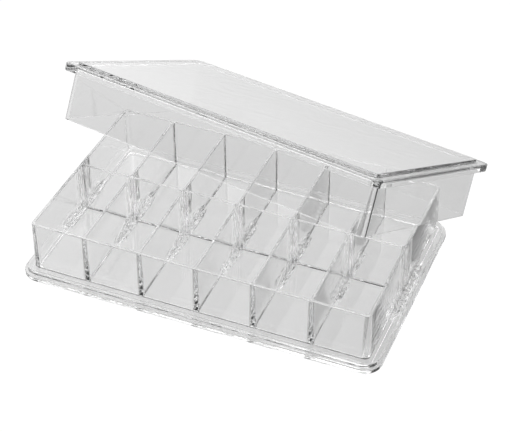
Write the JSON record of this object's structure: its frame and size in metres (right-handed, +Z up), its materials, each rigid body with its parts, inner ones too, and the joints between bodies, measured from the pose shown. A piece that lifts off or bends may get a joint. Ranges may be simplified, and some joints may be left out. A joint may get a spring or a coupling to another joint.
{
  "type": "compartment storage box",
  "caption": "Shallow clear plastic sorting tray with small cells in two rows on a stepped foot, and a deep loose stacking lid lying askew over its back.",
  "frame": {"origin": "centre of the tray's foot, on the surface it stands on", "axes": "+X along the tray's long side, +Y from the open front row of cells towards the lid at the back, +Z up"},
  "size_m": [0.2127, 0.1829, 0.0879],
  "materials": {
    "clear_polystyrene": "clear, polished mould surface"
  },
  "bodies": {
    "tray": {"tray": "clear_polystyrene"},
    "lid": {"lid": "clear_polystyrene"}
  },
  "joints": [
    {"name": "lid_lift", "type": "slide", "parent": "tray", "child": "lid", "axis": [0, 0, 1], "range_m": [0, 0.08]}
  ]
}
